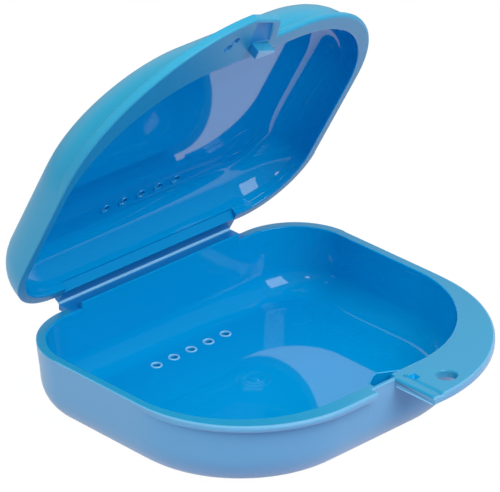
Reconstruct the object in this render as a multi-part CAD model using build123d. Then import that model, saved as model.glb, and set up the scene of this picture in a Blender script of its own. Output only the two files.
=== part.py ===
from build123d import *
import os

# Denture case: a shallow tray and a domed lid, moulded in one shot of polypropylene
# and joined along the back by a living hinge. Lengths are in millimetres.
# +X is right, +Y is back (the hinge), -Y is front (the latch) and +Z is up.
# The origin is the centre of the flat underside of the base tray.

# Plan of both halves: a rounded rectangle with tight back corners and wide front ones
CASE_WIDTH = 80.0
CASE_LENGTH = 66.3
BACK_CORNER_RADIUS = 14.8
FRONT_CORNER_RADIUS = 28.9
WALL = 2.1

# Base tray
BASE_HEIGHT = 16.0
BASE_DRAFT = 4.8
BASE_EDGE_RADIUS = 8.6
BASE_INNER_RADIUS = 5.8

# Lid shell, a shallower dome
LID_HEIGHT = 10.6
LID_DRAFT = 3.0
LID_EDGE_RADIUS = 9.4
LID_INNER_RADIUS = 7.6

FLOOR = 1.9

# Small lip along one front corner and thumb tab along the other
LIP_REACH = 1.9
LIP_THICKNESS = 1.4
TAB_REACH = 10.7
TAB_CORNER_RADIUS = 34.3
TAB_THICKNESS = 1.8
TAB_ROOT_SETBACK = 46.0
BASE_LIP_END = 3.7
BASE_TAB_START = 2.7
LID_TAB_END = 4.4
LID_TAB_TIP_X = 2.4
LID_CHAMFER_LENGTH = 7.6
LID_CHAMFER_WIDTH = 3.5

# Lanyard hole in the base tab
HOLE_RADIUS = 2.0
HOLE_X = 10.9
HOLE_REACH = 5.9

# Drain and air holes, one row in each half
VENT_COUNT = 5
VENT_PITCH = 4.76
VENT_RADIUS = 0.8
VENT_SETBACK = 10.6

# Hinge
RIM_GAP = 0.3
HINGE_LENGTH = 47.3
HINGE_REACH = 2.7
LEAF_THICKNESS = 1.2
FILM_RADIUS = 0.35
FILM_CLEARANCE = 0.05
LEAF_END_GAP = 0.15
OPEN_ANGLE = 60.0

# Raised lip behind the cavity of the base, and the rebate in the lid that clears it
SILL_LENGTH = 43.0
SILL_THICKNESS = 1.1
SILL_HEIGHT = 1.4
SILL_CLEARANCE = 0.4

# Latch: a hook on the lid that drops outside the front wall, through the gap between
# the base's lip and its tab, and a relief slot in the top of that wall
HOOK_LEFT = -3.4
HOOK_RIGHT = 1.3
HOOK_REACH = 2.6
HOOK_SLANT = 1.1
HOOK_DROP = 1.8
HOOK_NOSE = 0.5
HOOK_CLEARANCE = 0.3
SLOT_LEFT = -2.0
SLOT_RIGHT = 4.4
SLOT_WALL = 0.8
SLOT_DEPTH = 2.4

# Sunk field in the lid tab beside the hook, with sloping sides, and two dimples
FIELD_DEPTH = 1.0
FIELD_SLOPE = 35.0
FIELD_LEFT = -5.0
FIELD_MARGIN = 0.9
STRIP_WIDTH = 2.4
DIMPLE_RADIUS = 0.75
DIMPLE_DEPTH = 0.6
DIMPLE_X = -9.2
DIMPLE_REACH = 6.4
DIMPLE_STEP = 1.45

# Bead and groove along the left edge of the base tab
BEAD_WIDTH = 2.0
BEAD_SEAT = 0.8
BEAD_ROUND = 0.7
BEAD_END_GAP = 0.6
GROOVE_WIDTH = 0.6
POCKET_SIZE = 2.4
POCKET_DEPTH = 0.9
POCKET_OFFSET = 0.8

BACK = CASE_LENGTH / 2
FRONT = -CASE_LENGTH / 2
AXIS_Y = BACK + HINGE_REACH
AXIS_Z = BASE_HEIGHT + RIM_GAP / 2
TALL = 4 * BASE_HEIGHT


def box(x0, x1, y0, y1, z0, z1):
    """A block between two corners."""
    return Pos((x0 + x1) / 2, (y0 + y1) / 2, (z0 + z1) / 2) * Box(x1 - x0, y1 - y0, z1 - z0)


def plan(front_radius, reach=0.0, inset=0.0):
    """The rounded outline of a half, run out in front by reach and drawn in by inset."""
    length = CASE_LENGTH + reach - 2 * inset
    outline = Pos(0, -reach / 2) * Rectangle(CASE_WIDTH - 2 * inset, length)
    back_corners = outline.vertices().group_by(Axis.Y)[-1]
    outline = fillet(back_corners, BACK_CORNER_RADIUS - inset)
    front_corners = [v for v in outline.vertices() if v.Y < -reach - CASE_LENGTH / 2 + inset + 0.01]
    return fillet(front_corners, front_radius - inset)


def bowl(outline, depth, slope, edge_radius):
    """A solid that hangs below the rim plane, drafted, with a round bottom edge."""
    body = extrude(outline, amount=depth, dir=(0, 0, -1))
    walls = body.faces().sort_by(Axis.Z)[1:-1]
    body = draft(walls, Plane.XY, -slope)
    return fillet(body.edges().group_by(Axis.Z)[0], edge_radius)


def outer_form(height, slope, edge_radius):
    return bowl(plan(FRONT_CORNER_RADIUS), height, slope, edge_radius)


def cavity_form(height, slope, inner_radius):
    return bowl(plan(FRONT_CORNER_RADIUS, inset=WALL), height - FLOOR, slope, inner_radius)


def slab(front_radius, reach, thickness):
    """A flat plate under the rim plane in the shape of the run-out outline."""
    return extrude(plan(front_radius, reach), amount=thickness, dir=(0, 0, -1))


def vents(height):
    """The row of small round holes through the floor."""
    first = -(VENT_COUNT - 1) / 2
    y = BACK - VENT_SETBACK
    places = [((first + i) * VENT_PITCH, y) for i in range(VENT_COUNT)]
    return [Pos(x, y, -height) * Cylinder(VENT_RADIUS, 3 * FLOOR) for x, y in places]


def half(height, slope, edge_radius, inner_radius, lip_end):
    """One half with its rim at z = 0, its bowl below and its tab root on the right."""
    outer = outer_form(height, slope, edge_radius)
    lip = slab(FRONT_CORNER_RADIUS, LIP_REACH, LIP_THICKNESS)
    lip &= box(-CASE_WIDTH, lip_end, 2 * FRONT, 0, -TALL, TALL)
    tab_root = slab(TAB_CORNER_RADIUS, TAB_REACH, TAB_THICKNESS)
    tab_root &= box(0, CASE_WIDTH, BACK - TAB_ROOT_SETBACK, 0, -TALL, TALL)
    shell = outer + lip + tab_root - cavity_form(height, slope, inner_radius)
    for hole in vents(height):
        shell -= hole
    return shell


def thumb_tab(height, slope, edge_radius, tab_start):
    """The wide crescent outside the wall, from tab_start round to the right side."""
    tab = slab(TAB_CORNER_RADIUS, TAB_REACH, TAB_THICKNESS)
    tab &= box(tab_start, CASE_WIDTH, -CASE_LENGTH, BACK - TAB_ROOT_SETBACK, -TALL, TALL)
    return tab - outer_form(height, slope, edge_radius)


def hinge_leaf(below):
    """A flat plate from the back wall to the fold line; below is its side of the rim plane."""
    z0 = -LEAF_THICKNESS if below else RIM_GAP
    z1 = 0 if below else RIM_GAP + LEAF_THICKNESS
    leaf = box(-HINGE_LENGTH / 2, HINGE_LENGTH / 2, BACK, AXIS_Y - LEAF_END_GAP, z0, z1)
    return leaf


def film(radius):
    """The thin round web that folds, along the hinge line."""
    return Pos(0, AXIS_Y, RIM_GAP / 2) * Rot(0, 90, 0) * Cylinder(radius, HINGE_LENGTH)


def base_tray():
    tray = half(BASE_HEIGHT, BASE_DRAFT, BASE_EDGE_RADIUS, BASE_INNER_RADIUS, -BASE_LIP_END)
    sill_back = BACK - WALL + SILL_THICKNESS
    tray += box(-SILL_LENGTH / 2, SILL_LENGTH / 2, BACK - WALL, sill_back, -FLOOR, SILL_HEIGHT)
    tray -= box(SLOT_LEFT, SLOT_RIGHT, FRONT + SLOT_WALL, FRONT + 2 * WALL, -SLOT_DEPTH, TALL)
    return tray


def base_thumb_tab():
    tab = thumb_tab(BASE_HEIGHT, BASE_DRAFT, BASE_EDGE_RADIUS, BASE_TAB_START)
    tab -= Pos(HOLE_X, FRONT - HOLE_REACH, 0) * Cylinder(HOLE_RADIUS, 4 * TAB_THICKNESS)
    bead_end = BASE_TAB_START + BEAD_WIDTH
    groove_end = bead_end + GROOVE_WIDTH
    tab -= box(0, groove_end, FRONT - 2 * TAB_REACH, FRONT + WALL, -BEAD_SEAT, TALL)
    pocket = Polyline(
        (bead_end, FRONT - POCKET_OFFSET),
        (bead_end + POCKET_SIZE, FRONT - POCKET_OFFSET),
        (groove_end, FRONT - POCKET_OFFSET - POCKET_SIZE),
        close=True,
    )
    tab -= Pos(0, 0, -POCKET_DEPTH) * extrude(make_face(pocket), TAB_THICKNESS)
    return tab


def catch_bead():
    """The rounded strip seated on the stepped left edge of the base tab."""
    length = TAB_REACH - BEAD_END_GAP
    x1 = BASE_TAB_START + BEAD_WIDTH
    bead = box(BASE_TAB_START, x1, FRONT - length, FRONT + WALL, -BEAD_SEAT, 0)
    top = bead.faces().sort_by(Axis.Z)[-1]
    bead = fillet(top.edges(), BEAD_ROUND)
    return bead - outer_form(BASE_HEIGHT, BASE_DRAFT, BASE_EDGE_RADIUS)


def flip(shape):
    """Turns a half over about the Y axis, so that it closes on the base."""
    return Pos(0, 0, RIM_GAP) * Rot(0, 180, 0) * shape


def lid_shell():
    shell = flip(half(LID_HEIGHT, LID_DRAFT, LID_EDGE_RADIUS, LID_INNER_RADIUS, -LID_TAB_END))
    rebate = SILL_LENGTH / 2 + SILL_CLEARANCE
    sill_back = BACK - WALL + SILL_THICKNESS + SILL_CLEARANCE
    shell -= box(-rebate, rebate, BACK - 3 * WALL, sill_back, -1, SILL_HEIGHT + SILL_CLEARANCE)
    return shell


def lid_tab_end():
    """Corners of the tab's slanted end: start of the chamfer, its tip, and the root."""
    tip = FRONT - TAB_REACH
    start = Vector(LID_TAB_TIP_X - LID_CHAMFER_LENGTH, tip)
    corner = Vector(LID_TAB_TIP_X, tip + LID_CHAMFER_WIDTH)
    root = Vector(LID_TAB_END, FRONT)
    return start, corner, root


def lid_thumb_tab():
    tab = flip(thumb_tab(LID_HEIGHT, LID_DRAFT, LID_EDGE_RADIUS, -LID_TAB_END))
    start, corner, root = lid_tab_end()
    before = start + (start - corner)
    after = Vector(LID_TAB_END + WALL, FRONT)
    outside = Polyline(before, corner, root, after, (after.X, before.Y), close=True)
    tab -= Pos(0, 0, -TALL / 2) * extrude(make_face(outside), TALL)
    strip = Vector(STRIP_WIDTH, 0)
    field = Polyline(
        (FIELD_LEFT, start.Y + FIELD_MARGIN),
        corner - strip + Vector(0, -FIELD_MARGIN / 2),
        root - strip + Vector(0, -HOOK_REACH + HOOK_SLANT),
        (HOOK_LEFT - FIELD_MARGIN, FRONT - HOOK_REACH - HOOK_CLEARANCE),
        close=True,
    )
    tab -= Pos(0, 0, RIM_GAP) * extrude(make_face(field), FIELD_DEPTH, taper=FIELD_SLOPE)
    for i in range(2):
        place = Pos(DIMPLE_X - i * DIMPLE_STEP, FRONT - DIMPLE_REACH + i * DIMPLE_STEP, RIM_GAP)
        tab -= place * Cylinder(DIMPLE_RADIUS, 2 * DIMPLE_DEPTH)
    return tab


def latch_hook():
    """The slanted block under the lid tab that drops just outside the front wall."""
    inner = FRONT - HOOK_CLEARANCE
    outer = inner - HOOK_REACH + HOOK_CLEARANCE
    outline = Polyline(
        (HOOK_LEFT, outer),
        (HOOK_RIGHT, outer + HOOK_SLANT),
        (HOOK_RIGHT, inner),
        (HOOK_LEFT, inner),
        close=True,
    )
    hook = Pos(0, 0, RIM_GAP - HOOK_DROP) * extrude(make_face(outline), HOOK_DROP)
    nose = hook.edges().group_by(Axis.Z)[0].sort_by(Axis.Y)[:2]
    return chamfer(nose, HOOK_NOSE)


def open_lid(shape):
    """Places a closed lid piece at the base's height and swings it open."""
    raised = Pos(0, 0, BASE_HEIGHT) * shape
    axis = Axis((0, AXIS_Y, AXIS_Z), (-1, 0, 0))
    return raised.rotate(axis, OPEN_ANGLE)


def seat(shape):
    """Places a base piece, built about the rim plane, at the base's height."""
    return Pos(0, 0, BASE_HEIGHT) * shape


def build():
    shell = lid_shell()
    groove = film(FILM_RADIUS + FILM_CLEARANCE)
    pieces = {
        "base_tray": seat(base_tray()),
        "base_thumb_tab": seat(base_thumb_tab()),
        "catch_bead": seat(catch_bead()),
        "base_hinge_leaf": seat(hinge_leaf(True) - film(FILM_RADIUS)),
        "hinge_film": seat(film(FILM_RADIUS)),
        "lid_shell": open_lid(shell),
        "lid_thumb_tab": open_lid(lid_thumb_tab()),
        "lid_hinge_leaf": open_lid(hinge_leaf(False) - groove - shell),
        "latch_hook": open_lid(latch_hook()),
    }
    return pieces


os.makedirs("parts", exist_ok=True)
for name, shape in build().items():
    export_step(shape, f"parts/{name}.step")
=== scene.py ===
# %% [markdown]
# # A hinged denture case
#
# The real case is one injection moulding of blue polypropylene: a tray, a shallower domed
# lid, and a thin fold of the same plastic that joins them. This lesson loads the
# engineering model as a fixed frame, then builds each half again as one smooth skin,
# because the real halves have no seam between wall, rim, lip and thumb tab.

import math

import bmesh
import bpy
from mathutils import Matrix, Vector


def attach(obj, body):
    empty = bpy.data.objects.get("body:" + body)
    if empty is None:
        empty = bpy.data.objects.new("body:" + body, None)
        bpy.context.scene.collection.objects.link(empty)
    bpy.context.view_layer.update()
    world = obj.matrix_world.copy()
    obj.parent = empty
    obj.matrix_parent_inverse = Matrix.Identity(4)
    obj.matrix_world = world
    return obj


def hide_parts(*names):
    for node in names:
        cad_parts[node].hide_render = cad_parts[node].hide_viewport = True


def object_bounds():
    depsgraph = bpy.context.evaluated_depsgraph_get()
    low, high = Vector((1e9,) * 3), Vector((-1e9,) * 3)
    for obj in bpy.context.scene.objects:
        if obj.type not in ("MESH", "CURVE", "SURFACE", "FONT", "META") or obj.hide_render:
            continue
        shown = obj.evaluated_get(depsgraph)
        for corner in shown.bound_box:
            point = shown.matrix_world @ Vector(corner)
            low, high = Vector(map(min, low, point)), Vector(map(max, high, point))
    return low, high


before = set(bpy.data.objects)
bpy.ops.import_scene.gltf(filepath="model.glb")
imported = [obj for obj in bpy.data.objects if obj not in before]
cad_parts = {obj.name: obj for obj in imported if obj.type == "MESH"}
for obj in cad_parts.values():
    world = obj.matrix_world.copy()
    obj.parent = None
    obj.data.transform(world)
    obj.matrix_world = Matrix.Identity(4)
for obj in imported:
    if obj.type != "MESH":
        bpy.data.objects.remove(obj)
cad_box = [list(corner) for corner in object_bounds()]
MM = 0.001

# %% [markdown]
# ## Sizes
#
# All lengths are in millimetres and match the frame. Each half is drawn with its rim in
# the plane z = 0, its bowl below and its wide thumb tab towards +x. The tray is then
# lifted to its height, and the lid is turned over and swung open about the hinge.

# %% Sizes
WIDTH = 80.0
LENGTH = 66.3
BACK = LENGTH / 2
FRONT = -LENGTH / 2
BACK_CORNER = 14.8
FRONT_CORNER = 28.9
WALL = 2.1
FLOOR = 1.9
TRAY = {"height": 16.0, "draft": 4.8, "outer": 8.6, "inner": 5.8}
LID = {"height": 10.6, "draft": 3.0, "outer": 9.4, "inner": 7.6}

LIP_REACH = 1.9
LIP_THICKNESS = 1.4
LIP_ROUND = 0.6
TAB_REACH = 10.7
TAB_CORNER = 34.3
TAB_THICKNESS = 1.8
TAB_ROUND = 0.45
LEAF_REACH = 2.55
LEAF_THICKNESS = 1.2
LEAF_ROUND = 0.1
LEAF_HALF = 23.65

RIM_GAP = 0.3
HINGE_Y = BACK + 2.7
HINGE_Z = TRAY["height"] + RIM_GAP / 2
OPEN_ANGLE = math.radians(60)

# %% [markdown]
# ## The outline and its stations
#
# Seen from above, each half is a rounded rectangle with tight corners at the hinge and
# wide ones in front. The skin is made of cross-sections that stand on this outline like
# fence posts. Straight runs need few posts, corners need many, and where a lip or tab
# ends the posts stand close together, so that its end is crisp.

# %% Stations round the outline
CORNER_STEP = math.radians(3.0)
BACK_STEP = 3.0
SIDE_STEP = 2.0
FRONT_STEP = 0.5
CLOSE = (-0.4, -0.2, -0.08, -0.01, 0.01, 0.08, 0.2, 0.4)
CLEAR = 0.3


def spaced(start, end, step):
    """Evenly spaced values from start to end."""
    count = max(1, round(abs(end - start) / step))
    return [start + (end - start) * i / count for i in range(count + 1)]


def straight(start, end, step, ends):
    """Evenly spaced values with close ones round each place in ends."""
    close = [e + d for e in ends for d in CLOSE]
    plain = [v for v in spaced(start, end, step) if all(abs(v - c) > CLEAR for c in close)]
    low, high = min(start, end), max(start, end)
    inside = {round(v, 3) for v in plain + close if low <= v <= high}
    return sorted(inside, reverse=end < start)


def corner(cx, cy, radius, start, end):
    """Posts round one corner, without its first and last."""
    count = round(abs(end - start) / CORNER_STEP)
    posts = []
    for i in range(1, count):
        a = start + (end - start) * i / count
        nx, ny = math.cos(a), math.sin(a)
        posts.append(((cx + radius * nx, cy + radius * ny), (nx, ny)))
    return posts


def stations(back_ends, front_ends):
    """Every post as (point, outward direction), clockwise from the back's left end."""
    half, tight, wide = WIDTH / 2, BACK_CORNER, FRONT_CORNER
    quarter = math.pi / 2
    run = straight(tight - half, half - tight, BACK_STEP, back_ends)
    posts = [((x, BACK), (0, 1)) for x in run]
    posts += corner(half - tight, BACK - tight, tight, quarter, 0)
    run = spaced(BACK - tight, FRONT + wide, SIDE_STEP)
    posts += [((half, y), (1, 0)) for y in run]
    posts += corner(half - wide, FRONT + wide, wide, 0, -quarter)
    across_front = straight(half - wide, wide - half, FRONT_STEP, front_ends)
    posts += [((x, FRONT), (0, -1)) for x in across_front]
    posts += corner(wide - half, FRONT + wide, wide, -quarter, -2 * quarter)
    posts += [((-half, y), (-1, 0)) for y in spaced(FRONT + wide, BACK - tight, SIDE_STEP)]
    posts += corner(tight - half, BACK - tight, tight, 2 * quarter, quarter)
    return posts


print("posts on a plain outline", len(stations([], [])))

# %% [markdown]
# ## How far a lip or tab stands out
#
# The lip and the thumb tab share the case's sides and swing away from them at the front
# corners. At each post the distance from the wall to the edge of the lip or tab is found
# by halving: walk out from the wall and ask whether the point is still on the plate.

# %% Reach of lips and tabs
FACING = 0.99
HALVINGS = 30
INSET = 1e-6


def on_plate(x, y, reach, radius):
    """True where a plate that runs out by reach, with that corner radius, has plastic."""
    side, tip = WIDTH / 2, FRONT - reach
    if abs(x) > side or y < tip:
        return False
    over_x, over_y = abs(x) - (side - radius), (tip + radius) - y
    return over_x <= 0 or over_y <= 0 or math.hypot(over_x, over_y) <= radius


def plate_reach(post, reach, radius):
    """How far the plate stands out from the wall at this post."""
    (x, y), (nx, ny) = post
    low, high = 0.0, TAB_REACH + 3
    for _ in range(HALVINGS):
        middle = (low + high) / 2
        if on_plate(x + nx * middle, y + ny * middle - INSET, reach, radius):
            low = middle
        else:
            high = middle
    return low


TRAY_LIP_END = -3.7
TRAY_TAB_START = 2.7
LID_TAB_TIP = (5.2, FRONT - TAB_REACH)
LID_TAB_CORNER = (-2.4, FRONT - 7.2)
LID_TAB_ROOT = (-4.4, FRONT)
LID_LIP_END = -3.4


def leaf(post):
    """The hinge leaf, as its reach, thickness and edge round. It is only on the back."""
    (x, _), (_, ny) = post
    reach = LEAF_REACH if ny > FACING and abs(x) < LEAF_HALF else 0.0
    return reach, LEAF_THICKNESS, LEAF_ROUND


def lip(post):
    """The same for the narrow lip."""
    return plate_reach(post, LIP_REACH, FRONT_CORNER), LIP_THICKNESS, LIP_ROUND


def tab(post):
    """The same for the wide thumb tab."""
    return plate_reach(post, TAB_REACH, TAB_CORNER), TAB_THICKNESS, TAB_ROUND


def tray_flange(post):
    """What stands out from the tray at this post."""
    (x, _), (_, ny) = post
    if ny > 0:
        return leaf(post)
    if x < TRAY_LIP_END:
        return lip(post)
    if x > TRAY_TAB_START:
        return tab(post)
    return 0.0, LIP_THICKNESS, LIP_ROUND


def between(a, b, x):
    """The y on the line from a to b at x."""
    return a[1] + (b[1] - a[1]) * (x - a[0]) / (b[0] - a[0])


def lid_flange(post):
    """The same for the lid, whose tab ends in a short step and a long chamfer."""
    (x, _), (_, ny) = post
    if ny > 0:
        return leaf(post)
    if ny > -FACING or x >= LID_TAB_TIP[0] or x <= LID_TAB_ROOT[0]:
        return tab(post) if x > 0 else lip(post)
    if x < LID_TAB_CORNER[0]:
        edge = between(LID_TAB_ROOT, LID_TAB_CORNER, x)
    else:
        edge = between(LID_TAB_CORNER, LID_TAB_TIP, x)
    reach = FRONT - edge
    return (reach, TAB_THICKNESS, TAB_ROUND) if reach > LIP_REACH else lip(post)


# %% [markdown]
# ## One cross-section
#
# A cross-section is a list of (out, up) points: from the floor up the polished inner
# wall, over the rim, out along the flange, round its edge, back under it, and down the
# outer wall to the foot. Every section has the same number of points, so neighbours join
# into four-sided faces. The mould leaves a small round on every edge, and those rounds
# are what catch the light in the photograph. A hair-thin ridge where the inner round meets
# wall and floor is the mark of the mould's own joints.

# %% Cross-section
FILLET_STEPS = 10
ROUND_STEPS = 4
UNDER_STEPS = 7
RIM_ROUND = 0.3
FLAT_BORDER = 0.5
RIDGE = 0.03
BEAD_END = 0.8


def arc(cx, cy, radius, start, end, steps):
    """Points on an arc, angles in degrees."""
    angles = [math.radians(start + (end - start) * i / steps) for i in range(steps + 1)]
    return [(cx + radius * math.cos(a), cy + radius * math.sin(a)) for a in angles]


def foot_fillet(top, depth, radius, draft, below=0.0):
    """The round from a drafted wall, which starts at top on the rim, to the level floor.

    It starts where it leaves the wall, or lower, where a plate below covers that place.
    """
    lean = math.radians(draft)
    down = depth - radius * (1 - math.sin(lean))
    middle = top - down * math.tan(lean) - radius * math.cos(lean)
    covered = -math.degrees(math.asin(max(0.0, below + radius - depth) / radius))
    return arc(middle, radius - depth, radius, min(-draft, covered), -90, FILLET_STEPS)


def step_points(step, at):
    """The outer side of the raised sill."""
    if step > 0:
        return [(at - 0.7, step), (at - 0.5, step - 0.2), (at, 0.0)]
    return [(at - 0.2, 0.0), (at - 0.1, 0.0), (at, 0.0)]


def rim_points(reach, bead, ledge):
    """The level rim plane from the sill to the flange's edge, with the bead on it."""
    first = -0.55 + min(1.0, reach) * 0.65
    second = max(first + 0.1, reach - BEAD_END)
    third = min(max(second + 0.05, reach - BEAD_END + 0.2), reach - 0.35)
    return [(first, 0.0), (first + 0.05, bead), (second, bead), (third, ledge)]


def flange_points(flange, lean, ledge):
    """Round the flange's edge and back under it to the wall."""
    reach, thickness, edge_round = flange
    top_round = min(edge_round, RIM_ROUND + 0.2 * reach)
    low_round = min(edge_round, 0.4 * thickness, 0.4 * reach)
    edge = arc(reach - top_round, ledge - top_round, top_round, 90, 0, ROUND_STEPS)
    under = arc(reach - low_round, low_round - thickness, low_round, 0, -90, ROUND_STEPS)
    root = -lean * thickness
    under += [((root + under[-1][0]) / 2, -thickness), (root, -thickness)]
    share = min(1.0, reach / 0.4)
    plain = [RIM_ROUND + 0.1 * (i + 1) for i in range(UNDER_STEPS)]
    blended = [
        (u * share - lean * d * (1 - share), z * share - d * (1 - share))
        for (u, z), d in zip(under, plain)
    ]
    return edge + blended


def section(half, flange, step, step_at, bead, ledge):
    """One cross-section, with where its polished and its satin points end."""
    lean = math.tan(math.radians(half["draft"]))
    fillet = foot_fillet(-WALL, half["height"] - FLOOR, half["inner"], half["draft"])
    low, high = fillet[-1], fillet[0]
    polished = [(low[0] - FLAT_BORDER, low[1]), (low[0] - 0.2, low[1])]
    polished += [(low[0] - 0.1, low[1] + RIDGE)] + fillet[::-1]
    polished += [(high[0] - RIDGE, high[1] + 0.1), (high[0] + 0.2 * lean, high[1] + 0.2)]
    for share in (0.7, 0.4, 0.15):
        z = (fillet[0][1] + RIM_ROUND) * share - RIM_ROUND
        polished.append((-WALL + lean * z, z))
    rim = arc(RIM_ROUND - WALL, step - RIM_ROUND, RIM_ROUND, 180, 90, ROUND_STEPS)
    rim += step_points(step, step_at) + rim_points(flange[0], bead, ledge)
    outside = flange_points(flange, lean, ledge)
    root = -outside[-1][1]
    fillet = foot_fillet(0.0, half["height"], half["outer"], half["draft"], root + 0.02)
    for share in (0.3, 0.7):
        z = -root + (fillet[0][1] + root) * share
        outside.append((outside[-1][0] * (1 - share) + fillet[0][0] * share, z))
    outside += fillet + [(fillet[-1][0] - FLAT_BORDER, fillet[-1][1])]
    return polished + rim + outside, len(polished) + ROUND_STEPS, len(polished) + len(rim)


plain_lip = (LIP_REACH, LIP_THICKNESS, LIP_ROUND)
points, polished_end, satin_end = section(TRAY, plain_lip, 0.0, -1.0, 0.0, 0.0)
print("points in a section", len(points), "polished", polished_end, "satin", satin_end)

# %% [markdown]
# ## Sewing the sections into a skin
#
# The sections are joined into rings of faces, and the level floor and the foot are closed by
# one flat face each. Faces are polished inside, satin on the rim plane, where the two mould
# halves met, and fine matte outside. The hinge leaves take a darker blue, which is painted
# shade.

# %% Skin
SILL = {"half": 21.5, "height": 1.4, "at": 1.1 - WALL}
BEAD_PROFILE = (
    (2.70, -0.3), (2.85, -0.12), (3.1, 0.0), (4.2, 0.0), (4.5, -0.1), (4.8, -0.28),
)
BEAD_GROOVE = ((5.0, -0.3), (5.3, -0.1), (5.5, 0.0))
BEAD_LEDGE = -0.15


def interpolate(profile, x):
    """The height of a profile of (x, height) points at x."""
    for (x0, z0), (x1, z1) in zip(profile, profile[1:]):
        if x0 <= x <= x1:
            return z0 + (z1 - z0) * (x - x0) / (x1 - x0)
    return 0.0


def tray_section(post):
    """The tray's cross-section, with the sill at the back and the bead in front."""
    (x, _), (_, ny) = post
    raised = ny > FACING and abs(x) < SILL["half"]
    on_bead = ny < -FACING and TRAY_TAB_START <= x < BEAD_GROOVE[-1][0]
    bead = interpolate(BEAD_PROFILE + BEAD_GROOVE, x) if on_bead else 0.0
    ledge = bead + BEAD_LEDGE if on_bead else 0.0
    step = SILL["height"] if raised else 0.0
    return section(TRAY, tray_flange(post), step, SILL["at"], bead, ledge)


def lid_section(post):
    """The lid's cross-section, which is level all round."""
    return section(LID, lid_flange(post), 0.0, SILL["at"], 0.0, 0.0)


POLISHED = bpy.data.materials.new("polished_inside")
SATIN = bpy.data.materials.new("satin_parting_face")
MATTE = bpy.data.materials.new("spark_textured_tray")
PALE_AND_HIGHLIGHT = bpy.data.materials.new("stress_whitening_and_painted_highlight")
PAINTED_SHADE = bpy.data.materials.new("painted_shade_dark_blue")
TEAL_PAINTED_LIGHT = bpy.data.materials.new("spark_textured_lid_painted_light")
PLASTICS = (POLISHED, SATIN, MATTE, PALE_AND_HIGHLIGHT, PAINTED_SHADE, TEAL_PAINTED_LIGHT)
INSIDE, PARTING, TRAY_OUTSIDE, WHITENED_AND_HIGHLIGHT, IN_PAINTED_SHADE, LID_OUTSIDE = range(len(PLASTICS))


def link(name, mesh, materials=PLASTICS):
    """A new object that shows the bmesh."""
    data = bpy.data.meshes.new(name)
    for material in materials:
        data.materials.append(material)
    mesh.to_mesh(data)
    mesh.free()
    piece = bpy.data.objects.new(name, data)
    bpy.context.scene.collection.objects.link(piece)
    return piece


def face_finish(post, k, polished, satin, outside):
    """The finish of the face after point k of the cross-section at a post."""
    (x, _), (_, ny) = post
    if k < polished:
        return INSIDE
    if ny > FACING and abs(x) < LEAF_HALF + 0.1:
        # The hinge leaves and their rounds take the darker blue of painted shade.
        return IN_PAINTED_SHADE if k < satin + ROUND_STEPS + UNDER_STEPS else outside
    return PARTING if k < satin else outside


def skin(name, posts, cross_section, outside):
    """A closed mesh through the cross-sections at the posts, in millimetres."""
    mesh = bmesh.new()
    rings = []
    for post in posts:
        (x, y), (nx, ny) = post
        points, polished, satin = cross_section(post)
        rings.append([mesh.verts.new((x + nx * u, y + ny * u, z)) for u, z in points])
    count = len(rings[0])
    for i, ring in enumerate(rings):
        after = rings[(i + 1) % len(rings)]
        for k in range(count - 1):
            face = mesh.faces.new((ring[k], ring[k + 1], after[k + 1], after[k]))
            face.material_index = face_finish(posts[i], k, polished, satin, outside)
    mesh.faces.new([ring[0] for ring in rings]).material_index = INSIDE
    mesh.faces.new([ring[-1] for ring in rings]).material_index = outside
    bmesh.ops.recalc_face_normals(mesh, faces=mesh.faces)
    return link(name, mesh)


sill_and_leaf = [-LEAF_HALF, -SILL["half"], SILL["half"], LEAF_HALF]
tray_posts = stations(sill_and_leaf, [TRAY_LIP_END, TRAY_TAB_START, 3.1, 4.5, 5.3])
tray = skin("tray_moulding", tray_posts, tray_section, TRAY_OUTSIDE)
lid_ends = [LID_TAB_ROOT[0], LID_LIP_END, LID_TAB_CORNER[0], LID_TAB_TIP[0]]
lid_posts = stations([-LEAF_HALF, LEAF_HALF], lid_ends)
# The lid's outside takes the greener blue that stands for the light falling on it: painted
# light.
lid = skin("lid_moulding", lid_posts, lid_section, LID_OUTSIDE)
print("tray", len(tray.data.polygons), "faces, lid", len(lid.data.polygons), "faces")

# %% [markdown]
# ## Cuts
#
# Some shapes don't follow the outline: the drain holes, the lanyard hole, the slot that
# takes the lid's hook, the rebate that clears the sill, and the sunk field and two
# dimples on the lid's tab. Each is a cutter with slightly flared or sloping sides, as a
# mould core has, so that its edge stays soft.

# %% Cuts
VENT_PITCH = 4.76
VENT_Y = 22.55
VENT_RADIUS = 0.8
VENT_XS = [VENT_PITCH * i for i in (-2, -1, 0, 1, 2)]
LANYARD = (10.9, -39.05, 2.0)
FIELD = ((5.0, -42.95), (0.0, -40.8), (-2.0, -34.65), (4.3, -36.05))
FIELD_FLOOR = (
    (4.5, -42.4, -0.8), (1.2, -41.0, -0.55), (-0.9, -35.3, -0.25), (4.0, -36.4, -0.3),
)
DIMPLES = ((9.1, -39.2, 1.0), (10.5, -37.8, 0.7))
DIMPLE_RADIUS = 1.0
SLOT = ((-2.4, FRONT + 0.8), (3.4, FRONT + 0.8), (3.4, FRONT + 3.0), (-2.4, FRONT + 3.0))
SLOT_DEPTH = 2.0
SLOT_SLOPE = 0.05
POCKET = ((4.9, -34.1), (7.0, -34.1), (6.7, -36.0), (5.3, -36.2))
POCKET_DEPTH = 0.7
POCKET_SLOPE = 0.8
ABOVE = 0.3


def prism(top, bottom, material):
    """A cutter between two loops of (x, y, z) with as many points."""
    mesh = bmesh.new()
    upper = [mesh.verts.new(point) for point in top]
    lower = [mesh.verts.new(point) for point in bottom]
    mesh.faces.new(upper)
    mesh.faces.new(lower[::-1])
    for k in range(len(top)):
        j = (k + 1) % len(top)
        mesh.faces.new((upper[k], lower[k], lower[j], upper[j]))
    for face in mesh.faces:
        face.material_index = material
    bmesh.ops.recalc_face_normals(mesh, faces=mesh.faces)
    return link("cutter", mesh)


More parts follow.
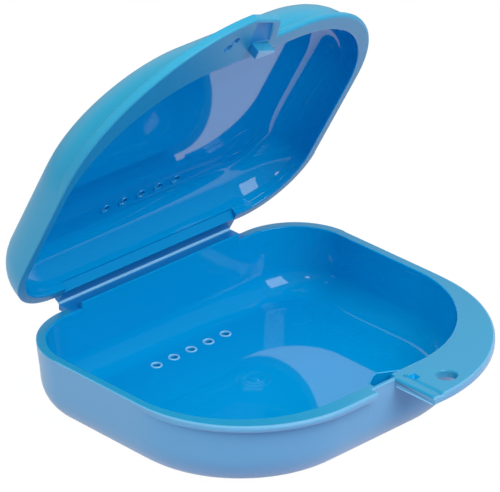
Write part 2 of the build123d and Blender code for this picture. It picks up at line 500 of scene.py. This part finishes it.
def turned(x, y, profile, material, steps=32):
    """A cutter turned about an upright axis from (radius, height) points."""
    mesh = bmesh.new()
    angles = [2 * math.pi * i / steps for i in range(steps)]
    rings = []
    for radius, z in profile:
        ring = [(x + radius * math.cos(a), y + radius * math.sin(a), z) for a in angles]
        rings.append([mesh.verts.new(point) for point in ring])
    for below, above in zip(rings, rings[1:]):
        for i in range(steps):
            j = (i + 1) % steps
            mesh.faces.new((below[i], below[j], above[j], above[i]))
    mesh.faces.new(rings[0])
    mesh.faces.new(rings[-1])
    for face in mesh.faces:
        face.material_index = material
    bmesh.ops.recalc_face_normals(mesh, faces=mesh.faces)
    return link("cutter", mesh)


def shrunk(loop, margin):
    """The loop pulled in towards its middle by about margin."""
    mx = sum(x for x, _ in loop) / len(loop)
    my = sum(y for _, y in loop) / len(loop)
    out = []
    for x, y in loop:
        away = math.hypot(x - mx, y - my)
        out.append((mx + (x - mx) * (1 - margin / away), my + (y - my) * (1 - margin / away)))
    return out


def pocket(loop, depth, slope):
    """A polished cutter that goes down from the rim plane with sloping sides."""
    above = [(x, y, ABOVE) for x, y in shrunk(loop, -slope * ABOVE / depth)]
    below = [(x, y, -depth) for x, y in shrunk(loop, slope)]
    return prism(above, below, INSIDE)


def hole(x, y, radius, low, high, material):
    """A cutter for a round hole from low to high, with softened ends."""
    soft = 0.25
    profile = [(radius + soft, low - 0.05), (radius + soft, low), (radius, low + soft)]
    profile += [(radius, high - soft), (radius + soft, high), (radius + soft, high + 0.05)]
    return turned(x, y, profile, material)


def cut(piece, cutters):
    """Takes every cutter out of the piece."""
    for cutter in cutters:
        change = piece.modifiers.new("cut", "BOOLEAN")
        change.operation = "DIFFERENCE"
        change.solver = "EXACT"
        change.object = cutter
    graph = bpy.context.evaluated_depsgraph_get()
    piece.data = bpy.data.meshes.new_from_object(piece.evaluated_get(graph))
    piece.modifiers.clear()
    for cutter in cutters:
        bpy.data.objects.remove(cutter)
    used = sorted({face.material_index for face in piece.data.polygons})
    print(piece.name, "finishes", [piece.data.materials[i].name for i in used])


def vents(half):
    """Cutters for the row of holes through the floor of a half."""
    low, high = -half["height"], FLOOR - half["height"]
    return [hole(x, VENT_Y, VENT_RADIUS, low, high, INSIDE) for x in VENT_XS]


lanyard = hole(*LANYARD, -TAB_THICKNESS, 0.0, PARTING)
catch = [pocket(SLOT, SLOT_DEPTH, SLOT_SLOPE), pocket(POCKET, POCKET_DEPTH, POCKET_SLOPE)]
cut(tray, vents(TRAY) + [lanyard] + catch)

REBATE_HALF = 23.3
REBATE_TOP = BACK - 0.6
REBATE_LOW = BACK - 1.7
REBATE_DEPTH = 1.65
REBATE_INNER = BACK - 6


def across(half, near, far, z):
    """The four corners of a level rectangle across the hinge side."""
    return [(-half, near, z), (half, near, z), (half, far, z), (-half, far, z)]


flare = (REBATE_TOP - REBATE_LOW) / REBATE_DEPTH * ABOVE
rebate = prism(
    across(REBATE_HALF, REBATE_TOP + flare, REBATE_INNER, ABOVE),
    across(REBATE_HALF, REBATE_LOW, REBATE_INNER, -REBATE_DEPTH),
    INSIDE,
)
# The field and the dimples take the darker blue of painted shade.
dimples = []
for x, y, depth in DIMPLES:
    bowl = [(0.4, -depth), (0.7, -depth * 0.75), (DIMPLE_RADIUS, 0.0), (1.05, 0.1)]
    dimples.append(turned(x, y, bowl, IN_PAINTED_SHADE))
field = prism([(x, y, 0.05) for x, y in FIELD], FIELD_FLOOR, IN_PAINTED_SHADE)
cut(lid, vents(LID) + [rebate, field] + dimples)
print("after the cuts", len(tray.data.polygons), len(lid.data.polygons), "faces")

# %% [markdown]
# ## Into place
#
# The tray goes up so that it stands on the ground. The lid is turned over about its long
# axis, set on the tray with the 0.3 mm gap, and swung open by 60 degrees.

# %% Into place
tray_place = Matrix.Scale(MM, 4) @ Matrix.Translation((0, 0, TRAY["height"]))
shut = Matrix.Translation((0, 0, TRAY["height"] + RIM_GAP)) @ Matrix.Rotation(math.pi, 4, "Y")
hinge = Matrix.Translation((0, HINGE_Y, HINGE_Z))
swing = hinge @ Matrix.Rotation(-OPEN_ANGLE, 4, "X") @ hinge.inverted()
lid_place = Matrix.Scale(MM, 4) @ swing @ shut

SHARP = math.radians(38)


def finish_piece(piece, place, body):
    """Puts the piece in place, smooths it, and lets it ride on its body."""
    piece.data.transform(place)
    mesh = bmesh.new()
    mesh.from_mesh(piece.data)
    for face in mesh.faces:
        face.smooth = True
    for edge in mesh.edges:
        edge.smooth = not edge.is_manifold or edge.calc_face_angle(0) < SHARP
    mesh.to_mesh(piece.data)
    mesh.free()
    weighted = piece.modifiers.new("even shading", "WEIGHTED_NORMAL")
    weighted.keep_sharp = True
    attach(piece, body)


finish_piece(tray, tray_place, "base")
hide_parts("base_tray", "base_thumb_tab", "catch_bead", "base_hinge_leaf")
finish_piece(lid, lid_place, "lid")
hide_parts("lid_shell", "lid_thumb_tab", "lid_hinge_leaf")

# %% [markdown]
# ## The hook and the small moulded details
#
# The hook is a short block on the lid's rim. When the case is shut it drops just outside the
# tray's front wall, in the gap between the tray's lip and its tab. Round each vent the mould
# leaves a raised ring; on the tray these rings are pale, which is a painted highlight. An
# ejector pin leaves a thin circle in each half. The gate, where the plastic ran in, leaves a
# dot with faint rings in the tray's floor.

# %% Hook and details
HOOK = ((3.5, -36.3), (-2.0, -34.0), (-2.0, -33.35), (3.5, -33.75))
HOOK_HEIGHT = 2.3
HOOK_ROUND = 0.25
RING_RADIUS = 1.05
RING_ROUND = 0.2
EJECTOR = (25.0, 18.45, 4.0)
EJECTOR_LINE = 0.05
GATE = (0.3, 4.35)
GATE_DOT = ((1.1, -0.05), (0.9, 0.06), (0.5, 0.12))
GATE_RINGS = ((2.0, 0.06), (3.4, 0.05))

hook_top = [(x, y, HOOK_HEIGHT) for x, y in HOOK]
hook = prism(hook_top, [(x, y, -0.05) for x, y in HOOK], PARTING)
hook.name = "hook"
mesh = bmesh.new()
mesh.from_mesh(hook.data)
bmesh.ops.bevel(
    mesh, geom=mesh.edges, offset=HOOK_ROUND, segments=3, affect="EDGES", profile=0.5
)
bmesh.ops.recalc_face_normals(mesh, faces=mesh.faces)
# Finishes by facing: the top takes the pale outside blue as painted light, the +x side the
# deep polished blue as painted shade, the rest satin.
for face in mesh.faces:
    if face.normal.z > 0.3:
        face.material_index = TRAY_OUTSIDE
    elif face.normal.x > 0.7:
        face.material_index = INSIDE
    else:
        face.material_index = PARTING
mesh.to_mesh(hook.data)
mesh.free()
finish_piece(hook, lid_place, "lid")
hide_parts("latch_hook")


def ring(x, y, z, radius, thick, material, steps=48, around=8):
    """A round ring that lies level at height z."""
    mesh = bmesh.new()
    loops = []
    for i in range(steps):
        a = 2 * math.pi * i / steps
        loop = []
        for j in range(around):
            b = 2 * math.pi * j / around
            r = radius + thick * math.cos(b)
            point = (x + r * math.cos(a), y + r * math.sin(a), z + thick * math.sin(b))
            loop.append(mesh.verts.new(point))
        loops.append(loop)
    for i in range(steps):
        after = loops[(i + 1) % steps]
        for j in range(around):
            k = (j + 1) % around
            face = mesh.faces.new((loops[i][j], after[j], after[k], loops[i][k]))
            face.material_index = material
    bmesh.ops.recalc_face_normals(mesh, faces=mesh.faces)
    return link("ring", mesh)


def details(half, place, body, name, side, finish):
    """Rings round the vents, the ejector circle and the gate's mark, as one piece."""
    z = FLOOR - half["height"]
    rings = [ring(x, VENT_Y, z, RING_RADIUS, RING_ROUND, finish) for x in VENT_XS]
    ex, ey, er = EJECTOR
    rings.append(ring(side * ex, ey, z, er, EJECTOR_LINE, INSIDE, 96))
    if half is TRAY:
        rings += [ring(*GATE, z, radius, thick, INSIDE) for radius, thick in GATE_RINGS]
        rings.append(turned(*GATE, [(radius, z + up) for radius, up in GATE_DOT], INSIDE))
    mesh = bmesh.new()
    for one in rings:
        mesh.from_mesh(one.data)
        bpy.data.objects.remove(one)
    finish_piece(link(name, mesh), place, body)


# The tray's vent rings are pale: a painted highlight on their rounded rims.
details(TRAY, tray_place, "base", "tray_marks", 1, WHITENED_AND_HIGHLIGHT)
details(LID, lid_place, "lid", "lid_marks", -1, INSIDE)

# %% [markdown]
# ## The keeper
#
# Behind the slot a thin rib stands out from the tray's front wall and closes the catch
# towards the inside. Its top edge shows as a fine pale line.

# %% Keeper
KEEPER = (
    (6.0, -31.2), (4.4, -30.3), (3.0, -29.5), (1.8, -28.9),
    (0.6, -29.1), (-1.0, -30.0), (-2.6, -31.2),
)
KEEPER_HEIGHT = 3.0
KEEPER_THICK = 0.4


def ribbon(name, line, low, high, thick, material):
    """An upright strip that follows a line of (x, y) points, with a rounded top."""
    mesh = bmesh.new()
    half = thick / 2
    shape = [(half, low), (half, high - half)]
    shape += arc(0, high - half, half, 30, 150, 4)
    shape += [(-half, high - half), (-half, low)]
    loops = []
    for k, (x, y) in enumerate(line):
        x0, y0 = line[max(0, k - 1)]
        x1, y1 = line[min(len(line) - 1, k + 1)]
        long = math.hypot(x1 - x0, y1 - y0)
        nx, ny = (y1 - y0) / long, (x0 - x1) / long
        loops.append([mesh.verts.new((x + nx * u, y + ny * u, z)) for u, z in shape])
    for loop, after in zip(loops, loops[1:]):
        for j in range(len(shape)):
            k = (j + 1) % len(shape)
            face = mesh.faces.new((loop[j], loop[k], after[k], after[j]))
            face.material_index = material
    mesh.faces.new(loops[0])
    mesh.faces.new(loops[-1])
    bmesh.ops.recalc_face_normals(mesh, faces=mesh.faces)
    return link(name, mesh)


keeper = ribbon("keeper", KEEPER, -KEEPER_HEIGHT, 0.0, KEEPER_THICK, INSIDE)
finish_piece(keeper, tray_place, "base")

# %% [markdown]
# ## The fold
#
# Where tray and lid meet, the moulding is a thin web that has been folded many times. Bending
# stretches the plastic there until it turns pale, and its bright line is partly that whitening
# and partly a painted highlight. A second, finer pale line along the lower left edge of the
# tray's tab is a painted highlight, where that rounded edge catches the light from the table.

# %% Fold
FOLD_RADIUS = 0.35
FOLD_HALF = LEAF_HALF - 0.15
EDGE_HIGHLIGHT_RADIUS = 0.13
EDGE_HIGHLIGHT_HEIGHT = 0.1 - TAB_THICKNESS


def tube(name, spine, material, around=12):
    """A round tube along a spine of (point, radius)."""
    mesh = bmesh.new()
    points = [Vector(point) for point, _ in spine]
    loops = []
    for k, (point, radius) in enumerate(spine):
        along = (points[min(k + 1, len(points) - 1)] - points[max(k - 1, 0)]).normalized()
        side = along.cross(Vector((0, 0, 1))).normalized()
        top = side.cross(along)
        angles = [2 * math.pi * j / around for j in range(around)]
        rim = [points[k] + (side * math.cos(a) + top * math.sin(a)) * radius for a in angles]
        loops.append([mesh.verts.new(place) for place in rim])
    for loop, after in zip(loops, loops[1:]):
        for j in range(around):
            k = (j + 1) % around
            mesh.faces.new((loop[j], loop[k], after[k], after[j]))
    mesh.faces.new(loops[0])
    mesh.faces.new(loops[-1])
    bmesh.ops.recalc_face_normals(mesh, faces=mesh.faces)
    return link(name, mesh, (material,))


def rounded(start, end, radius):
    """A straight spine from start to end with domed ends."""
    start, end = Vector(start), Vector(end)
    along = (end - start).normalized()
    shape = [(0.0, 0.3), (0.06, 0.85), (0.15, 1.0)]
    near = [(start + along * d, radius * share) for d, share in shape]
    return near + [(end - along * d, radius * share) for d, share in shape[::-1]]


# The fold's pale, shiny rod is partly real whitening and partly a painted highlight.
fold = tube("fold", rounded((-FOLD_HALF, 0, 0), (FOLD_HALF, 0, 0), FOLD_RADIUS), PALE_AND_HIGHLIGHT, 20)
finish_piece(fold, Matrix.Scale(MM, 4) @ hinge, "base")
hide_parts("hinge_film")

# A pale tube on the tab's lower left edge: a painted highlight.
edge_highlight_start = (TRAY_TAB_START, FRONT - 0.2, EDGE_HIGHLIGHT_HEIGHT)
edge_highlight_end = (TRAY_TAB_START, FRONT - TAB_REACH + 0.5, EDGE_HIGHLIGHT_HEIGHT)
painted_edge_highlight = tube("painted_edge_highlight", rounded(edge_highlight_start, edge_highlight_end, EDGE_HIGHLIGHT_RADIUS), PALE_AND_HIGHLIGHT)
finish_piece(painted_edge_highlight, tray_place, "base")

# %% [markdown]
# ## One blue polypropylene, six surfaces
#
# The plastic is polypropylene, coloured through with a blue pigment. Much of what changes from
# place to place is the surface that the mould gave it: polished steel inside, ground steel on
# the rims, and a fine spark-eroded texture outside, which scatters white light and looks
# paler. Where the plastic has been bent hard it has whitened. The rest is painted light: the
# darker blue of recesses and hinge leaves is painted shade, the lid's greener outside is
# painted light, and the pale finish is also a painted highlight on some edges and rings.

# %% Materials


def linear(code):
    """Linear RGBA from a hexadecimal sRGB colour."""
    parts = [int(code[i : i + 2], 16) / 255 for i in (1, 3, 5)]
    return [p / 12.92 if p <= 0.04045 else ((p + 0.055) / 1.055) ** 2.4 for p in parts] + [1]


def add_node(tree, kind, **values):
    """A node with its settings, and its sockets set by name or linked."""
    node = tree.nodes.new(kind)
    for name, value in values.items():
        if name == "inputs":
            for socket, given in value.items():
                if isinstance(given, bpy.types.NodeSocket):
                    tree.links.new(given, node.inputs[socket])
                else:
                    node.inputs[socket].default_value = given
        else:
            setattr(node, name, value)
    return node


def plastic(material, colour, roughness, grain, height, haze=0.0):
    """Polypropylene with a surface relief of that grain and height in millimetres."""
    material.use_nodes = True
    tree = material.node_tree
    tree.nodes.clear()
    place = add_node(tree, "ShaderNodeTexCoord")
    relief = add_node(
        tree,
        "ShaderNodeTexNoise",
        inputs={"Vector": place.outputs["Object"], "Scale": 1 / (grain * MM), "Detail": 2.0},
    )
    bump = add_node(
        tree,
        "ShaderNodeBump",
        inputs={"Height": relief.outputs["Fac"], "Distance": height * MM, "Strength": 1.0},
    )
    surface = add_node(
        tree,
        "ShaderNodeBsdfPrincipled",
        inputs={
            "Base Color": linear(colour),
            "Roughness": roughness,
            "IOR": 1.49,
            "Normal": bump.outputs["Normal"],
            "Sheen Weight": haze,
            "Sheen Roughness": 0.45,
        },
    )
    out = add_node(tree, "ShaderNodeOutputMaterial")
    tree.links.new(surface.outputs["BSDF"], out.inputs["Surface"])


# Against polished steel the plastic sets like glass: deep blue with sharp, slightly wavy
# reflections of the lamps.
plastic(POLISHED, "#0094D4", 0.04, 6.0, 0.002)
# The rims were ground flat: they reflect a soft sheen and no shapes.
plastic(SATIN, "#2490BE", 0.36, 0.3, 0.002)
# Spark erosion leaves pits 0.1 mm wide: a pale, dry-looking blue with a haze at its edges.
plastic(MATTE, "#64A8D6", 0.42, 0.12, 0.006, 0.5)
# The lid has the same texture and plastic as the tray; its greener blue is painted light.
plastic(TEAL_PAINTED_LIGHT, "#269CC8", 0.42, 0.12, 0.006, 0.1)
# Bent or squeezed thin, polypropylene whitens, and its stretched skin shines; the same pale
# colour also serves as a painted highlight on the fold, the tray's vent rings and the tab's
# lower edge.
plastic(PALE_AND_HIGHLIGHT, "#8CCBF0", 0.15, 0.3, 0.002)
# Recesses and hinge leaves take a darker blue, which is painted shade, and a rough surface
# with no sharp glint.
plastic(PAINTED_SHADE, "#0880C4", 0.42, 0.3, 0.004)

# %% [markdown]
# ## Studio
#
# The photograph is a product picture on pure white. A soft key light in front draws the
# reflections on the polished inside, and a small lamp on the left adds the glint. Three
# wide lamps only fill in the shadows and don't show as reflections. The table is white to
# the camera, and to reflections only in a patch round the case, so that the far table
# draws no streaks in the rounds. It stays dull to all other rays and keeps the shadow.

# %% Studio
WORLD_LIGHT = 0.12
BACKDROP_SIDE = (0.68, 0.73, -0.3)
PATCH_INNER = 0.16
PATCH_OUTER = 0.24
SEEN_SHARE = 0.95
TABLE_GLOW = 1.04
TABLE_PAINT = (0.4, 0.4, 0.6, 1)
LAMP_DISTANCE = 0.6

scene = bpy.context.scene
scene.view_settings.view_transform = "Standard"

world = bpy.data.worlds.new("studio")
scene.world = world
world.use_nodes = True
tree = world.node_tree
tree.nodes.clear()
path = add_node(tree, "ShaderNodeLightPath")
where = add_node(tree, "ShaderNodeTexCoord")
behind = add_node(
    tree,
    "ShaderNodeVectorMath",
    operation="DOT_PRODUCT",
    inputs={0: where.outputs["Generated"], 1: BACKDROP_SIDE},
)
backdrop = add_node(
    tree,
    "ShaderNodeMapRange",
    inputs={0: behind.outputs["Value"], 1: 0.1, 2: 0.5, 3: WORLD_LIGHT, 4: 1.0},
)
around = add_node(
    tree,
    "ShaderNodeMix",
    data_type="FLOAT",
    inputs={0: path.outputs["Is Glossy Ray"], 2: WORLD_LIGHT, 3: backdrop.outputs[0]},
)
dim = add_node(
    tree,
    "ShaderNodeBackground",
    inputs={"Color": linear("#F6F8FF"), "Strength": around.outputs[0]},
)
white = add_node(tree, "ShaderNodeBackground", inputs={"Color": (1, 1, 1, 1), "Strength": 1.0})
seen = add_node(
    tree,
    "ShaderNodeMath",
    operation="MAXIMUM",
    inputs={0: path.outputs["Is Camera Ray"], 1: path.outputs["Is Transmission Ray"]},
)
mix = add_node(
    tree,
    "ShaderNodeMixShader",
    inputs={0: seen.outputs[0], 1: dim.outputs[0], 2: white.outputs[0]},
)
out = add_node(tree, "ShaderNodeOutputWorld")
tree.links.new(mix.outputs[0], out.inputs["Surface"])

floor_mesh = bmesh.new()
bmesh.ops.create_grid(floor_mesh, x_segments=1, y_segments=1, size=1.5)
floor = link("floor", floor_mesh, ())
floor.location.z = cad_box[0][2] - 0.00005
floor_paint = bpy.data.materials.new("white_table")
floor_paint.use_nodes = True
tree = floor_paint.node_tree
tree.nodes.clear()
path = add_node(tree, "ShaderNodeLightPath")
spot = add_node(tree, "ShaderNodeTexCoord")
away = add_node(
    tree,
    "ShaderNodeVectorMath",
    operation="LENGTH",
    inputs={0: spot.outputs["Object"]},
)
near = add_node(
    tree,
    "ShaderNodeMapRange",
    inputs={0: away.outputs["Value"], 1: PATCH_INNER, 2: PATCH_OUTER, 3: 1.0, 4: 0.0},
)
mirrored = add_node(
    tree,
    "ShaderNodeMath",
    operation="MULTIPLY",
    inputs={0: path.outputs["Is Glossy Ray"], 1: near.outputs[0]},
)
seen = add_node(
    tree,
    "ShaderNodeMath",
    operation="MAXIMUM",
    inputs={0: path.outputs["Is Camera Ray"], 1: mirrored.outputs[0]},
)
share = add_node(
    tree,
    "ShaderNodeMath",
    operation="MULTIPLY",
    inputs={0: seen.outputs[0], 1: SEEN_SHARE},
)
paint = add_node(tree, "ShaderNodeBsdfDiffuse", inputs={"Color": TABLE_PAINT})
glow = add_node(
    tree,
    "ShaderNodeEmission",
    inputs={"Color": (1, 1, 1, 1), "Strength": TABLE_GLOW},
)
mix = add_node(
    tree,
    "ShaderNodeMixShader",
    inputs={0: share.outputs[0], 1: paint.outputs[0], 2: glow.outputs[0]},
)
out = add_node(tree, "ShaderNodeOutputMaterial")
tree.links.new(mix.outputs[0], out.inputs["Surface"])
floor.data.materials.append(floor_paint)


def soft_light(name, direction, size, radiance, colour="#FFFFFF"):
    """A square soft light that faces the case from that direction, in metres."""
    data = bpy.data.lights.new(name, "AREA")
    data.shape = "SQUARE"
    data.size = size
    data.energy = radiance * math.pi * size * size
    data.color = linear(colour)[:3]
    lamp = bpy.data.objects.new(name, data)
    away = Vector(direction).normalized()
    lamp.location = away * LAMP_DISTANCE + Vector((0, 0, 0.02))
    lamp.rotation_euler = away.to_track_quat("Z", "Y").to_euler()
    scene.collection.objects.link(lamp)
    return lamp


soft_light("key", (0.05, -0.78, 0.63), 0.38, 4.1)
soft_light("glint", (-0.85, -0.27, 0.45), 0.09, 4.5)
left_fill = soft_light("left", (-0.85, 0.3, 0.35), 0.4, 2.6, "#F6FFF6")
right_fill = soft_light("right", (0.75, -0.4, 0.65), 0.4, 1.2)
top_fill = soft_light("top", (-0.2, -0.3, 1.0), 0.8, 1.7, "#F6FFEE")
for lamp in (left_fill, right_fill, top_fill):
    lamp.visible_glossy = False

# %% [markdown]
# ## Camera
#
# The camera's place, its aim, its slight roll and its long lens were found by fitting the
# outlines of tray, lid and tabs to the photograph.

# %% Camera
CAMERA_PLACE = (-0.53817, -0.56840, 0.43532)
CAMERA_AIM = (0.60904, 0.64865, -0.45643)
CAMERA_ROLL = math.radians(-0.593)
LENS = 322.46
SENSOR = 36.0

camera_data = bpy.data.cameras.new("camera")
camera_data.lens = LENS
camera_data.sensor_width = SENSOR
camera_data.clip_end = 10.0
camera = bpy.data.objects.new("camera", camera_data)
forward = Vector(CAMERA_AIM).normalized()
level = forward.cross(Vector((0, 0, 1))).normalized()
upward = level.cross(forward)
right = level * math.cos(CAMERA_ROLL) + upward * math.sin(CAMERA_ROLL)
above = upward * math.cos(CAMERA_ROLL) - level * math.sin(CAMERA_ROLL)
turn = Matrix((right, above, -forward)).transposed().to_4x4()
camera.matrix_world = Matrix.Translation(CAMERA_PLACE) @ turn
scene.collection.objects.link(camera)
scene.camera = camera
